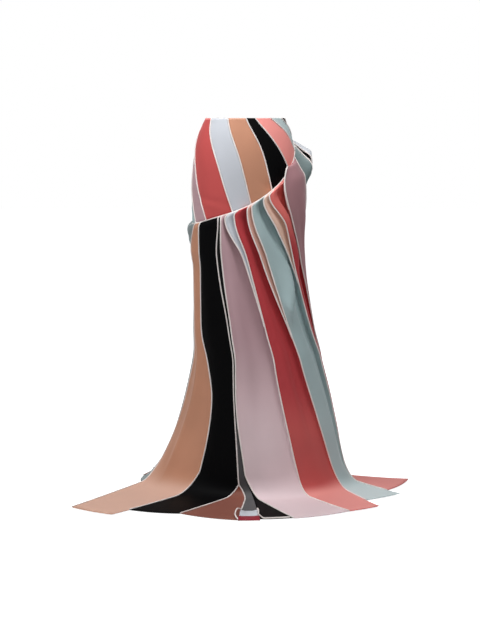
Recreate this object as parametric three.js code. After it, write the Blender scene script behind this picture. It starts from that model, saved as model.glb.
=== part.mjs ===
// Pleated maxi skirt with a fitted hip yoke, a slanting hip seam and a floor-length pleated skirt
// whose gores run out over the floor. It stands hollow, as worn: +Z up, the origin at the middle of
// the waist edge, the front towards -Y and the high side of the hip seam towards +X.
// Lengths are millimetres. Angles are degrees round the skirt: 180 left, 270 front, 360 right, 450 back.
import * as THREE from 'three';

// Driving sizes
const waistHeight = 1175; // waist edge above the floor
const clothWall = 2; // bonded crepe
const seamGap = 0.3; // between neighbouring pieces
const leastApart = 0.2; // degrees; a piece has the rows where its two folds are at least this far apart
const hipSeamHalf = 2; // from the hip seam to the cut edge of the cloth on either side
const pipingHalf = 1.6; // half the height of the piping in the hip seam
const pipingProud = 1; // how far that piping stands out of the cloth
const pipingSide = 0.3; // how far its rounding starts out of the cloth
const pipingCrown = 0.6; // half the height of its flat top
const shoulderDrop = 18; // from the hip seam down to the roll at the top of a pleat
const holdDrop = 90; // from the hip seam down to where a pleat starts to settle
const releaseDrop = 470; // below the waist, where it has settled
const tipWidth = 0.45; // degrees that an insert is wide at its tip
const roundness = 4; // how far a gore swells between its two folds
const mitreMost = 2.2; // longest inward step at a fold, in walls
const foldReach = 5; // a fold's sharpness is judged over this distance to each side
const landingShare = 0.2; // of the way from the bend to the hem, where a train lies flat
const footDrop = 1075; // where the skirt starts to bend out over the floor
const stripeSteps = 6; // facets across a yoke stripe
const goreSteps = [ // facets across a gore, by its least width at the hip seam in degrees
  { from: 33, steps: 9 }, { from: 15, steps: 6 }, { from: -1, steps: 4 },
];
const pipingStep = 4; // degrees

// Cloth colours
const cloths = {
  coral: 0xcd5c58,
  rose: 0xc49a8c,
  ice: 0xc3c8d1,
  tan: 0xbd8b72,
  black: 0x141417,
  sage: 0x93a9aa,
  mauve: 0xb89ba3,
  slate: 0x7f8a8c,
  rust: 0x8a5240,
  cream: 0xe6dad4,
};

// The skirt's tube, by the drop below the waist edge; its middle moves to the right and to the back
const tube = [
  { drop: 0, halfWidth: 123, halfDepth: 91, shift: 0, back: 0 },
  { drop: 50, halfWidth: 145, halfDepth: 104, shift: 0, back: 0 },
  { drop: 100, halfWidth: 157, halfDepth: 113, shift: 0, back: 0 },
  { drop: 160, halfWidth: 163, halfDepth: 119, shift: 0, back: 0 },
  { drop: 225, halfWidth: 167, halfDepth: 122, shift: 0, back: 0 },
  { drop: 320, halfWidth: 166, halfDepth: 124, shift: 0, back: 0 },
  { drop: 440, halfWidth: 172, halfDepth: 130, shift: 9, back: 4 },
  { drop: 560, halfWidth: 180, halfDepth: 137, shift: 18, back: 10 },
  { drop: 670, halfWidth: 190, halfDepth: 146, shift: 28, back: 18 },
  { drop: 760, halfWidth: 201, halfDepth: 158, shift: 38, back: 28 },
  { drop: 880, halfWidth: 226, halfDepth: 178, shift: 38, back: 44 },
  { drop: 965, halfWidth: 247, halfDepth: 195, shift: 35, back: 55 },
  { drop: 1100, halfWidth: 289, halfDepth: 218, shift: 21, back: 68 },
  { drop: 1175, halfWidth: 325, halfDepth: 228, shift: 8, back: 72 },
];

// The hip seam, low at the left and high at the right
const hipSeam = [
  { angle: 120, drop: 268 },
  { angle: 150, drop: 315 },
  { angle: 180, drop: 331 },
  { angle: 212, drop: 322 },
  { angle: 242, drop: 301 },
  { angle: 260, drop: 284 },
  { angle: 278, drop: 261 },
  { angle: 297, drop: 227 },
  { angle: 316, drop: 186 },
  { angle: 330, drop: 152 },
  { angle: 345, drop: 119 },
  { angle: 358, drop: 88 },
  { angle: 374, drop: 66 },
  { angle: 394, drop: 66 },
  { angle: 420, drop: 112 },
  { angle: 450, drop: 190 },
  { angle: 480, drop: 268 },
  { angle: 510, drop: 315 },
  { angle: 540, drop: 331 },
];

// Yoke stripes: the angle of the seam at each stripe's left, at the waist, below the middle and at the hip
const yokeStripes = [
  { cloth: 'mauve', waist: 150, middle: 175, hip: 203 },
  { cloth: 'coral', waist: 166, middle: 197, hip: 224 },
  { cloth: 'ice', waist: 208.5, middle: 236, hip: 254.5 },
  { cloth: 'tan', waist: 245, middle: 263.5, hip: 277.5 },
  { cloth: 'black', waist: 272, middle: 290, hip: 302 },
  { cloth: 'coral', waist: 285, middle: 308.5, hip: 327 },
  { cloth: 'sage', waist: 310.5, middle: 334, hip: 351 },
  { cloth: 'black', waist: 336, middle: 355, hip: 372 },
  { cloth: 'tan', waist: 357, middle: 377, hip: 395 },
  { cloth: 'mauve', waist: 382, middle: 402, hip: 421 },
  { cloth: 'ice', waist: 408, middle: 429, hip: 448 },
  { cloth: 'coral', waist: 434, middle: 456, hip: 475 },
  { cloth: 'black', waist: 459, middle: 482, hip: 502 },
  { cloth: 'sage', waist: 485, middle: 509, hip: 531 },
];
const stripeRows = [0, 0.15, 0.3, 0.45, 0.65, 0.85, 1]; // shares of the way from the waist to the hip seam
const stripeMiddle = 0.45;

// Folds down the skirt, each with the piece to its right: the angle at the hip seam, at the roll below
// it and at four heights, where it ends on the floor, how far the pieces before and after it reach
// there, how far it stands out of the tube above and below, and how deep its piece dips behind the next
const folds = [
  { name: 'front_tan', cloth: 'tan', hip: 208, shoulder: 201, thigh: 186, knee: 188, shin: 183, foot: 179,
    corner: 186, hem: 209.5, landing: 0.1, before: 341, after: 604, stand: 5, settle: 0, dip: 3 },
  { name: 'front_black', cloth: 'black', hip: 217.5, shoulder: 214.5, thigh: 213, knee: 211.5, shin: 232,
    foot: 234.7, corner: 233.5, hem: 224, before: 552, after: 478, stand: 6, settle: 3, dip: 4 },
  { name: 'pleat_rust', cloth: 'rust', hip: 242, shoulder: 242.3, thigh: 238.8, knee: 246.6, shin: 252.3,
    foot: 261.5, corner: 262, hem: 242, before: 412, after: 412, stand: 9, settle: 9, dip: 0 },
  { name: 'pleat_slate', cloth: 'slate', follows: 'before', opens: 1070,
    corner: 269.5, hem: 267, before: 438, after: 327, settle: 4, dip: 14 },
  { name: 'pleat_black', cloth: 'black', follows: 'after', opens: 1070,
    corner: 275, hem: 276, before: 327, after: 425, settle: 4, dip: 0 },
  { name: 'front_mauve', cloth: 'mauve', hip: 245.7, shoulder: 246.3, thigh: 244.8, knee: 249.9,
    shin: 254.3, foot: 267.5, corner: 277, hem: 289, before: 437, after: 443, stand: 14, settle: 14,
    dip: 15 },
  { name: 'insert_ice', cloth: 'ice', hip: 257.7, shoulder: 250.5, thigh: 265.2, tip: 640, stand: 12,
    dip: 8 },
  { name: 'front_coral', cloth: 'coral', hip: 266.9, shoulder: 259.8, thigh: 269, knee: 280.4,
    shin: 288.5, foot: 297.7, corner: 303, hem: 312.2, before: 466, after: 466, stand: 16, settle: 14,
    dip: 14 },
  { name: 'insert_rose', cloth: 'rose', hip: 277, shoulder: 272.2, thigh: 282.2, tip: 640, stand: 15,
    dip: 8 },
  { name: 'front_sage', cloth: 'sage', hip: 284.3, shoulder: 276.4, thigh: 288, knee: 302.8, shin: 315.8,
    foot: 327, corner: 331, hem: 324.2, before: 504, after: 440, stand: 19, settle: 16, dip: 17 },
  { name: 'insert_tan', cloth: 'tan', hip: 295.2, shoulder: 287.4, thigh: 313, tip: 490, stand: 18,
    dip: 8 },
  { name: 'side_coral', cloth: 'coral', hip: 302.1, shoulder: 292.6, thigh: 318.5, knee: 333, shin: 351,
    foot: 356, hem: 342.9, before: 511, after: 470, stand: 21, settle: 12, dip: 16 },
  { name: 'insert_black', cloth: 'black', hip: 317.5, shoulder: 309.4, thigh: 328, tip: 290, stand: 22,
    dip: 2 },
  { name: 'side_mauve', cloth: 'mauve', hip: 319.2, shoulder: 310.8, thigh: 331, knee: 357, shin: 367,
    foot: 371, hem: 364.1, landing: 0.1, before: 538, after: 362, stand: 28, settle: 5, dip: 2,
    swell: 12, swellTo: 450 },
  { name: 'side_sage', cloth: 'sage', hip: 345, shoulder: 346, thigh: 361, knee: 375, shin: 386, foot: 391,
    hem: 397.5, before: 376, after: 380, stand: 28, settle: 6, dip: 0, swell: 14, swellTo: 215,
    roll: 62, hold: 120, release: 430 },
  { name: 'back_black', cloth: 'black', hip: 360, shoulder: 353, thigh: 380, knee: 393, shin: 404, foot: 409,
    hem: 413, before: 415, after: 400, stand: 48, settle: 8, dip: 20, roll: 58, hold: 66, release: 230 },
  { name: 'back_ice', cloth: 'ice', hip: 364, shoulder: 357, thigh: 396, knee: 411, shin: 422, foot: 427,
    hem: 432, before: 470, after: 440, stand: 48, settle: 10, dip: 8, swell: 16, swellTo: 200,
    roll: 44, hold: 50, release: 230 },
  { name: 'back_coral', cloth: 'coral', hip: 402, shoulder: 397, thigh: 420, knee: 432, shin: 441, foot: 446,
    hem: 450, before: 505, after: 460, stand: 26, settle: 12, dip: 14 },
  { name: 'back_tan', cloth: 'tan', hip: 432, shoulder: 428, thigh: 443, knee: 453, shin: 460, foot: 464,
    hem: 467, before: 500, after: 460, stand: 18, settle: 12, dip: 14 },
  { name: 'back_mauve', cloth: 'mauve', hip: 459, shoulder: 456, thigh: 466, knee: 473, shin: 479, foot: 483,
    hem: 486, before: 450, after: 380, stand: 16, settle: 12, dip: 14 },
  { name: 'back_rust', cloth: 'rust', hip: 485, shoulder: 482.5, thigh: 489, knee: 494, shin: 499, foot: 503,
    hem: 507, before: 372, after: 356, stand: 16, settle: 12, dip: 14 },
  { name: 'back_slate', cloth: 'slate', hip: 510, shoulder: 509, thigh: 512, knee: 514, shin: 517, foot: 520,
    hem: 524, before: 352, after: 345, stand: 26, settle: 4, dip: 8, roll: 28, hold: 60, release: 440 },
];
const hemTurns = [ // turned-out hems that lie before the slate piece of the front pleat
  { name: 'hem_turn_ice', cloth: 'ice', from: 330, to: 388 },
  { name: 'hem_turn_coral', cloth: 'coral', from: 388.4, to: 434 },
];
const hemTurnShares = [0.006, 0.5, 0.994]; // across the pleat

// Heights at which a fold is worked out
const stations = { thigh: 420, knee: 640, shin: 880, foot: 1090 };
const shoulderRows = [0, 0.3, 1]; // shares of the drop to the roll
const fallRows = [ // steps from one height down to the next
  { to: stations.thigh, steps: 3 },
  { to: stations.knee, steps: 3 },
  { to: stations.shin, steps: 2 },
  { to: footDrop, steps: 2 },
];
const bendRows = [0.25, 0.5, 0.75, 1];
const floorRows = [0.5, 1];
const leanAtRoll = 0.1; // share of a pleat's lean at the start of its roll
const standAtRoll = 0.62; // share of its stand there
const dipAcross = [ // how a piece's dip spreads from its left fold to its right
  [0, 0], [0.25, 0.1], [0.5, 0.5], [0.78, 1], [1, 0],
];
const dipDown = [ // and how it fades down the skirt
  [0, 1], [330, 1], [640, 0.75], [880, 0.5], [footDrop, 0.25],
];
const dipBelowRoll = [[0.6, 0], [3, 1]]; // it deepens below the roll at the top, by rolls below the seam
const swellHold = 0.72; // share of the drop to swellTo at which a piece's own swell starts to fade
const dipWidth = 26; // a piece narrower than this dips in proportion

const fullTurn = 360;
const seamStart = hipSeam[1].angle; // the hip seam's table is read over one turn from here
const up = new THREE.Vector3(0, 0, 1);
const radians = THREE.MathUtils.degToRad;
const mix = THREE.MathUtils.lerp;

// A smooth course through knots [at, value] that never swings past them
function smooth(knots, at) {
  const last = knots.length - 1;
  if (at <= knots[0][0]) return knots[0][1];
  if (at >= knots[last][0]) return knots[last][1];
  const slope = (i) => (knots[i + 1][1] - knots[i][1]) / (knots[i + 1][0] - knots[i][0]);
  const tangent = (i) => {
    if (i === 0) return slope(0);
    if (i === last) return slope(last - 1);
    const product = slope(i - 1) * slope(i);
    return product <= 0 ? 0 : (2 * product) / (slope(i - 1) + slope(i));
  };
  const i = knots.findIndex((knot, k) => k < last && at <= knots[k + 1][0]);
  const span = knots[i + 1][0] - knots[i][0];
  const t = (at - knots[i][0]) / span;
  const s = 1 - t;
  return s * s * ((1 + 2 * t) * knots[i][1] + t * span * tangent(i))
    + t * t * ((1 + 2 * s) * knots[i + 1][1] - s * span * tangent(i + 1));
}

const seamKnots = hipSeam.map((row) => [row.angle, row.drop]);
const tubeKnots = (column) => tube.map((row) => [row.drop, row[column]]);
const tubeWidth = tubeKnots('halfWidth');
const tubeDepth = tubeKnots('halfDepth');
const tubeShift = tubeKnots('shift');
const tubeBack = tubeKnots('back');

const arch = (share) => 4 * share * (1 - share); // 0 at both folds and 1 midway

function seamDrop(angle) {
  return smooth(seamKnots, THREE.MathUtils.euclideanModulo(angle - seamStart, fullTurn) + seamStart);
}

function onTube(angle, drop, out) {
  return new THREE.Vector3(
    smooth(tubeShift, drop) + (smooth(tubeWidth, drop) + out) * Math.cos(radians(angle)),
    smooth(tubeBack, drop) + (smooth(tubeDepth, drop) + out) * Math.sin(radians(angle)),
    -drop,
  );
}

function onFloor(angle, reach) {
  return new THREE.Vector3(
    reach * Math.cos(radians(angle)),
    reach * Math.sin(radians(angle)),
    clothWall - waistHeight,
  );
}

// The tube's outward direction, level
function outwards(angle, drop) {
  return new THREE.Vector3(
    Math.cos(radians(angle)) / smooth(tubeWidth, drop),
    Math.sin(radians(angle)) / smooth(tubeDepth, drop),
    0,
  ).normalize();
}

// The drops of a fold's rows below a hip seam at the given drop
function fallDrops(seam, roll) {
  const drops = shoulderRows.map((share) => seam + share * roll);
  for (const { to, steps } of fallRows) {
    const from = drops.at(-1);
    for (let step = 1; step <= steps; step += 1) drops.push(mix(from, to, step / steps));
  }
  return drops;
}
const fallCount = fallDrops(0, shoulderDrop).length;
const landRow = fallCount + bendRows.length - 1;

// A fold's angle and stand at each of its rows, worked out from its line of the table
function courseOf(fold) {
  const { roll = shoulderDrop, hold = holdDrop, release = releaseDrop } = fold;
  const seam = seamDrop(fold.hip) + hipSeamHalf;
  const start = seam + roll * shoulderRows[1];
  const angles = [
    [seam, fold.hip],
    [start, mix(fold.hip, fold.shoulder, leanAtRoll)],
    [seam + roll, fold.shoulder],
    ...Object.entries(stations).map(([name, drop]) => [drop, fold[name]]),
  ];
  const stands = [
    [seam, 0],
    [start, fold.stand * standAtRoll],
    [seam + roll, fold.stand],
    [seam + hold, fold.stand],
    [release, fold.settle],
    [stations.foot, fold.settle],
  ];
  const drops = fallDrops(seam, roll);
  return {
    angles: drops.map((drop) => smooth(angles, drop)),
    stands: drops.map((drop) => smooth(stands, drop)),
    corner: fold.corner ?? fold.foot,
    landing: fold.landing ?? landingShare,
    settle: fold.settle,
    hem: fold.hem,
    roll,
  };
}

// An insert's fold closes on the next fold at its tip and follows it from there
function insertCourse(fold, next) {
  const { settle, roll = shoulderDrop } = next;
  const own = courseOf({ ...next, ...fold, settle, roll });
  const course = courseOf(next);
  const drops = fallDrops(seamDrop(fold.hip) + hipSeamHalf, roll);
  const tipRow = drops.findIndex((drop) => drop >= fold.tip - 1);
  const widths = [
    [drops[0], next.hip - fold.hip],
    [drops[2], next.shoulder - fold.shoulder],
    [stations.thigh, next.thigh - fold.thigh],
    [fold.tip, 0],
  ].filter(([drop]) => drop <= fold.tip);
  for (let row = 0; row <= tipRow; row += 1) {
    const closing = (drops[row] / fold.tip) ** 2;
    course.angles[row] -= Math.max(tipWidth, smooth(widths, drops[row]));
    course.stands[row] = mix(own.stands[row], course.stands[row], Math.min(closing, 1));
  }
  return course;
}

// A fold that opens low down follows its neighbour above that, and leaves it by the width of a tip
function openingCourse(fold, neighbour) {
  const side = fold.follows === 'before' ? 1 : -1;
  const leader = courseOf(neighbour);
  const drops = fallDrops(seamDrop(neighbour.hip) + hipSeamHalf, leader.roll);
  const openRow = drops.findIndex((drop) => drop >= fold.opens);
  const angles = leader.angles.map((angle, row) => (row < openRow ? angle : angle + side * tipWidth));
  return { ...leader, angles, corner: fold.corner, settle: fold.settle, hem: fold.hem };
}

const courses = folds.map((fold, i) => {
  const [before, after] = [folds[i - 1], folds[(i + 1) % folds.length]];
  if (fold.tip) return insertCourse(fold, after);
  if (fold.follows === 'before') return openingCourse(fold, before);
  if (fold.follows === 'after') return openingCourse(fold, after);
  return courseOf(fold);
});

// A course between two folds; the last piece's right fold is one turn on
function between(left, right, share) {
  const blend = (one, other) => one.map((value, row) => mix(value, other[row], share));
  return {
    angles: blend(left.angles, right.angles),
    stands: blend(left.stands, right.stands),
    corner: mix(left.corner, right.corner, share),
    landing: mix(left.landing, right.landing, share),
    settle: mix(left.settle, right.settle, share),
    hem: mix(left.hem, right.hem, share),
    roll: mix(left.roll, right.roll, share),
  };
}

function turned(course) {
  return {
    ...course,
    angles: course.angles.map((angle) => angle + fullTurn),
    corner: course.corner + fullTurn,
    hem: course.hem + fullTurn,
  };
}

// The points of a course from the hip seam to the hem, with what it dips or swells at each row. Its end
// on the floor lies on the line that runs to the longer of the two hems that meet there.
function fallPoints(course, longest, reach, swell) {
  const drops = fallDrops(seamDrop(course.angles[0]) + hipSeamHalf, course.roll);
  const points = drops.map((drop, row) => (
    onTube(course.angles[row], drop, course.stands[row] + swell(drop, row))
  ));
  const corner = onTube(course.corner, waistHeight - clothWall, course.settle);
  const end = onFloor(course.hem, longest);
  const land = corner.clone().lerp(end, course.landing);
  const cornerReach = Math.hypot(corner.x, corner.y);
  const hem = corner.clone().lerp(end, (reach - cornerReach) / (longest - cornerReach));
  const bend = new THREE.QuadraticBezierCurve3(points.at(-1), corner, land);
  for (const share of bendRows) points.push(bend.getPoint(share));
  for (const share of floorRows) points.push(land.clone().lerp(hem, share));
  return points;
}

// A piece's outer points, a column for each share of its width; stepped hems share one landing line
function piecePoints(i) {
  const fold = folds[i];
  const next = folds[(i + 1) % folds.length];
  const left = courses[i];
  const right = i + 1 < folds.length ? courses[i + 1] : turned(courses[0]);
  const rightFold = next.tip ? folds[(i + 2) % folds.length] : next;
  const { steps } = goreSteps.find(({ from }) => right.angles[0] - left.angles[0] > from);
  const { dip: depth, swell: fullness = roundness, swellTo = releaseDrop } = fold;
  const leftLongest = Math.max(fold.before ?? 0, fold.after ?? 0);
  const rightLongest = Math.max(rightFold.before, rightFold.after);
  const columns = [];
  for (let step = 0; step <= steps; step += 1) {
    const share = step / steps;
    const course = between(left, right, share);
    const seam = seamDrop(course.angles[0]);
    const swell = (drop, row) => {
      const width = radians(right.angles[row] - left.angles[row]) * smooth(tubeWidth, drop);
      const rolls = (drop - seam - hipSeamHalf) / course.roll;
      const settled = THREE.MathUtils.clamp(rolls, 0, 1);
      const dip = depth * smooth(dipAcross, share) * smooth(dipDown, drop) * smooth(dipBelowRoll, rolls);
      const swollen = mix(fullness, roundness, smooth([[swellHold * swellTo, 0], [swellTo, 1]], drop));
      return smooth([[0, 0], [dipWidth, 1]], width) * (arch(share) * swollen * settled - dip);
    };
    const longest = mix(leftLongest, rightLongest, share);
    columns.push(fallPoints(course, longest, mix(fold.after ?? 0, rightFold.before, share), swell));
  }
  return columns[0].map((point, row) => columns.map((column) => column[row]));
}

// Inward step at a point between its neighbours: the wall's thickness, mitred where the cloth folds
function mitre(before, point, after, along) {
  const one = new THREE.Vector3().crossVectors(along, point.clone().sub(before)).normalize();
  const other = new THREE.Vector3().crossVectors(along, after.clone().sub(point)).normalize();
  const sum = one.clone().add(other);
  const length = Math.min(2 / Math.max(sum.length(), 1e-6), mitreMost) * clothWall;
  return sum.normalize().multiplyScalar(length);
}

// A closed wall from grids of outer and inner points, rows downwards and columns round to the right
function wallGeometry(outer, inner) {
  const [rows, columns] = [outer.length, outer[0].length];
  const points = [...outer.flat(), ...inner.flat()];
  const out = (row, column) => row * columns + column;
  const back = (row, column) => rows * columns + out(row, column);
  const index = [];
  const quad = (a, b, c, d) => index.push(a, b, d, b, c, d);
  for (let row = 0; row + 1 < rows; row += 1) {
    for (let column = 0; column + 1 < columns; column += 1) {
      quad(out(row, column), out(row + 1, column), out(row + 1, column + 1), out(row, column + 1));
      quad(back(row, column + 1), back(row + 1, column + 1), back(row + 1, column), back(row, column));
    }
    const last = columns - 1;
    quad(back(row, 0), back(row + 1, 0), out(row + 1, 0), out(row, 0));
    quad(out(row + 1, last), back(row + 1, last), back(row, last), out(row, last));
  }
  for (let column = 0; column + 1 < columns; column += 1) {
    const last = rows - 1;
    quad(out(0, column), out(0, column + 1), back(0, column + 1), back(0, column));
    quad(back(last, column), back(last, column + 1), out(last, column + 1), out(last, column));
  }
  const geometry = new THREE.BufferGeometry().setFromPoints(points);
  geometry.setIndex(index);
  return geometry;
}

const group = new THREE.Group();
group.name = 'pleated_maxi_skirt';

function addPiece(name, cloth, geometry) {
  const material = new THREE.MeshStandardMaterial({ color: cloths[cloth], roughness: 0.55, metalness: 0 });
  const mesh = new THREE.Mesh(geometry, material);
  mesh.name = name;
  group.add(mesh);
}

// Walls for a ring of neighbouring pieces. Each piece is { grid, first, last }: its outer points and the
// rows that it has. stepAt gives the inward step where it isn't square to the cloth.
function ringWalls(pieces, stepAt) {
  const has = (piece, row) => row >= piece.first && row <= piece.last;
  const rings = pieces[0].grid.map((line, row) => {
    const starts = new Map();
    const points = [];
    for (const piece of pieces.filter((each) => has(each, row))) {
      starts.set(piece, points.length);
      points.push(...piece.grid[row]);
    }
    return { starts, points };
  });
  const beside = ({ points }, at, side) => {
    let k = at;
    do k = (k + side + points.length) % points.length; while (points[k].distanceTo(points[at]) < foldReach);
    return points[k];
  };
  return pieces.map((piece) => {
    const outer = [];
    const inner = [];
    for (let row = piece.first; row <= piece.last; row += 1) {
      const line = piece.grid[row];
      const last = line.length - 1;
      const ring = rings[row];
      const steps = line.map((point, column) => {
        const above = piece.grid[Math.max(row - 1, 0)][column];
        const below = piece.grid[Math.min(row + 1, piece.grid.length - 1)][column];
        const along = below.clone().sub(above);
        const at = ring.starts.get(piece) + column;
        const given = stepAt(row, point);
        const step = given ?? mitre(beside(ring, at, -1), point, beside(ring, at, 1), along);
        const across = step.clone().cross(along);
        if (given) across.z = 0;
        return { step, across: across.normalize() };
      });
      const moved = line.map((point, column) => {
        if (column > 0 && column < last) return point;
        const side = column === 0 ? 1 : -1;
        return point.clone().addScaledVector(steps[column].across, (side * seamGap) / 2);
      });
      outer.push(moved);
      inner.push(moved.map((point, column) => {
        const under = point.clone().sub(steps[column].step);
        under.z = Math.max(under.z, -waistHeight);
        return under;
      }));
    }
    return wallGeometry(outer, inner);
  });
}

// Yoke
function stripeAngle(stripe, share) {
  return smooth([[0, stripe.waist], [stripeMiddle, stripe.middle], [1, stripe.hip]], share);
}

function stripeGrid(i) {
  const stripe = yokeStripes[i];
  const next = yokeStripes[(i + 1) % yokeStripes.length];
  const turn = i + 1 < yokeStripes.length ? 0 : fullTurn;
  return stripeRows.map((share) => {
    const line = [];
    for (let step = 0; step <= stripeSteps; step += 1) {
      const across = step / stripeSteps;
      const hip = mix(stripe.hip, next.hip + turn, across);
      const angle = mix(stripeAngle(stripe, share), stripeAngle(next, share) + turn, across);
      line.push(onTube(angle, share * (seamDrop(hip) - hipSeamHalf), 0));
    }
    return line;
  });
}

function levelStep(point) {
  const drop = -point.z;
  const angle = THREE.MathUtils.radToDeg(Math.atan2(
    (point.y - smooth(tubeBack, drop)) / smooth(tubeDepth, drop),
    (point.x - smooth(tubeShift, drop)) / smooth(tubeWidth, drop),
  ));
  return outwards(angle, drop).multiplyScalar(clothWall);
}

function addYoke() {
  const lastRow = stripeRows.length - 1;
  const pieces = yokeStripes.map((stripe, i) => ({ grid: stripeGrid(i), first: 0, last: lastRow }));
  const walls = ringWalls(pieces, (row, point) => (row === 0 || row === lastRow ? levelStep(point) : null));
  walls.forEach((geometry, i) => {
    const number = String(i + 1).padStart(2, '0');
    addPiece(`yoke_${number}_${yokeStripes[i].cloth}`, yokeStripes[i].cloth, geometry);
  });
}

// Piping in the hip seam: one closed ring
function addPiping() {
  const section = [ // distance out and height
    [-clothWall, pipingHalf], [pipingSide, pipingHalf], [pipingProud, pipingCrown],
    [pipingProud, -pipingCrown], [pipingSide, -pipingHalf], [-clothWall, -pipingHalf],
  ];
  const points = [];
  const index = [];
  const turns = fullTurn / pipingStep;
  const sides = section.length;
  for (let turn = 0; turn < turns; turn += 1) {
    const angle = turn * pipingStep;
    const drop = seamDrop(angle);
    const out = outwards(angle, drop);
    const middle = onTube(angle, drop, 0);
    for (const [away, height] of section) {
      points.push(middle.clone().addScaledVector(out, away).addScaledVector(up, height));
    }
    for (let side = 0; side < sides; side += 1) {
      const a = turn * sides + side;
      const b = turn * sides + ((side + 1) % sides);
      const c = ((turn + 1) % turns) * sides + ((side + 1) % sides);
      const d = ((turn + 1) % turns) * sides + side;
      index.push(a, b, d, b, c, d);
    }
  }
  const geometry = new THREE.BufferGeometry().setFromPoints(points);
  geometry.setIndex(index);
  addPiece('hip_piping', 'cream', geometry);
}

// Pleated skirt
function addSkirt() {
  const pieces = folds.map((fold, i) => {
    const grid = piecePoints(i);
    const open = grid.map((line, row) => {
      const right = i + 1 < folds.length ? courses[i + 1] : turned(courses[0]);
      return row < fallCount ? right.angles[row] - courses[i].angles[row] > leastApart : !fold.tip;
    });
    return { grid, first: open.indexOf(true), last: open.lastIndexOf(true) };
  });
  const stepAt = (row, point) => {
    if (row === 0) return levelStep(point);
    return row >= landRow ? up.clone().multiplyScalar(clothWall) : null;
  };
  ringWalls(pieces, stepAt).forEach((geometry, i) => addPiece(folds[i].name, folds[i].cloth, geometry));
}

// Turned-out hems of the front pleat, flat on the floor before its slate piece
function addHemTurns() {
  const i = folds.findIndex((fold) => fold.name === 'pleat_slate');
  const [left, right] = [i, i + 1].map((k) => {
    const corner = onTube(courses[k].corner, waistHeight - clothWall, courses[k].settle);
    const end = onFloor(courses[k].hem, Math.max(folds[k].before, folds[k].after));
    const away = end.clone().sub(corner);
    const cornerReach = Math.hypot(corner.x, corner.y);
    const length = Math.hypot(end.x, end.y) - cornerReach;
    return (reach) => corner.clone().addScaledVector(away, (reach - cornerReach) / length);
  });
  const wall = up.clone().multiplyScalar(clothWall);
  for (const { name, cloth, from, to } of hemTurns) {
    const outer = [from, to].map((reach) => (
      hemTurnShares.map((share) => left(reach).lerp(right(reach), share))
    ));
    const inner = outer.map((line) => line.map((point) => point.clone().sub(wall)));
    addPiece(name, cloth, wallGeometry(outer, inner));
  }
}

addYoke();
addPiping();
addSkirt();
addHemTurns();
export default group;
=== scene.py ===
import bpy
import math
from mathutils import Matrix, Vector


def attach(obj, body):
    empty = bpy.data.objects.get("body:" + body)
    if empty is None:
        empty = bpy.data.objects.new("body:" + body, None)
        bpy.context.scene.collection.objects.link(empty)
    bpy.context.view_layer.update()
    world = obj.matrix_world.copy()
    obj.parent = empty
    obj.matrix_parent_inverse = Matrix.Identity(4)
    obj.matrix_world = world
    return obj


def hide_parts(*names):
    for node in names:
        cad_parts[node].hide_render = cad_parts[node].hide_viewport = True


# Pleated maxi skirt: a fitted yoke of slanting stripes, a piped hip seam, and long gores that fall in
# pleats and run out over the floor. Tables are in millimetres and degrees round the skirt: 180 is the
# left, 270 the front, 360 the right, 450 the back. Meshes are in metres.

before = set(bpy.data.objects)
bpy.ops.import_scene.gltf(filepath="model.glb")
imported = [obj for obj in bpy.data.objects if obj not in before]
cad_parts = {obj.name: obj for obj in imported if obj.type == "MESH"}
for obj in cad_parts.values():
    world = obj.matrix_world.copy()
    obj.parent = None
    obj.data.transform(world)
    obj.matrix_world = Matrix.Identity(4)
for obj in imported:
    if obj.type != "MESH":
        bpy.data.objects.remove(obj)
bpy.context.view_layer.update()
mm = 0.001

cloth = {  # what all the pieces share
    "wall": 1.5,
    "solidWall": 2.0,
    "waistHeight": 1175,
    "seamRoom": 0.6,  # from the hip seam to the cloth above it and below it
    "floorClear": 0.4,
}

tube = [  # drop below the waist, half width, half depth, shift to the right, shift to the back
    (0, 123, 91, 0, 0), (50, 145, 104, 0, 0), (100, 157, 113, 0, 0), (160, 163, 119, 0, 0),
    (225, 167, 122, 0, 0), (320, 166, 124, 0, 0), (440, 172, 130, 9, 4), (560, 180, 137, 18, 10),
    (670, 190, 146, 28, 18), (760, 201, 158, 38, 28), (880, 226, 178, 38, 44), (965, 247, 195, 35, 55),
    (1100, 289, 218, 21, 68), (1175, 325, 228, 8, 72),
]
hipSeam = [  # angle, drop below the waist
    (120, 268), (150, 315), (180, 331), (212, 322), (242, 301), (260, 284), (278, 261), (297, 227),
    (316, 186), (330, 152), (345, 119), (358, 88), (374, 66), (394, 66), (420, 112), (450, 190),
    (480, 268), (510, 315), (540, 331),
]


def smooth(knots, at):  # a smooth course through knots that never swings past them
    last = len(knots) - 1
    if at <= knots[0][0]:
        return knots[0][1]
    if at >= knots[last][0]:
        return knots[last][1]
    i = next(k for k in range(last) if at <= knots[k + 1][0])

    def slope(k):
        return (knots[k + 1][1] - knots[k][1]) / (knots[k + 1][0] - knots[k][0])

    def tangent(k):
        if k == 0:
            return slope(0)
        if k == last:
            return slope(last - 1)
        product = slope(k - 1) * slope(k)
        return 0 if product <= 0 else 2 * product / (slope(k - 1) + slope(k))

    span = knots[i + 1][0] - knots[i][0]
    t = (at - knots[i][0]) / span
    s = 1 - t
    return (s * s * ((1 + 2 * t) * knots[i][1] + t * span * tangent(i))
            + t * t * ((1 + 2 * s) * knots[i + 1][1] - s * span * tangent(i + 1)))


def tabled(knots, low, high):  # the same course, read once a millimetre and then looked up
    values = [smooth(knots, low + k) for k in range(high - low + 2)]

    def at(x):
        x = min(max(x, low), high) - low
        k = int(x)
        return values[k] + (values[k + 1] - values[k]) * (x - k)
    return at


tubeWidth, tubeDepth, tubeShift, tubeBack = [
    tabled([(row[0], row[k]) for row in tube], 0, cloth["waistHeight"]) for k in (1, 2, 3, 4)
]


def mix(a, b, share):
    return a + (b - a) * share


def clamp(x, low=0.0, high=1.0):
    return min(max(x, low), high)


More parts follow.
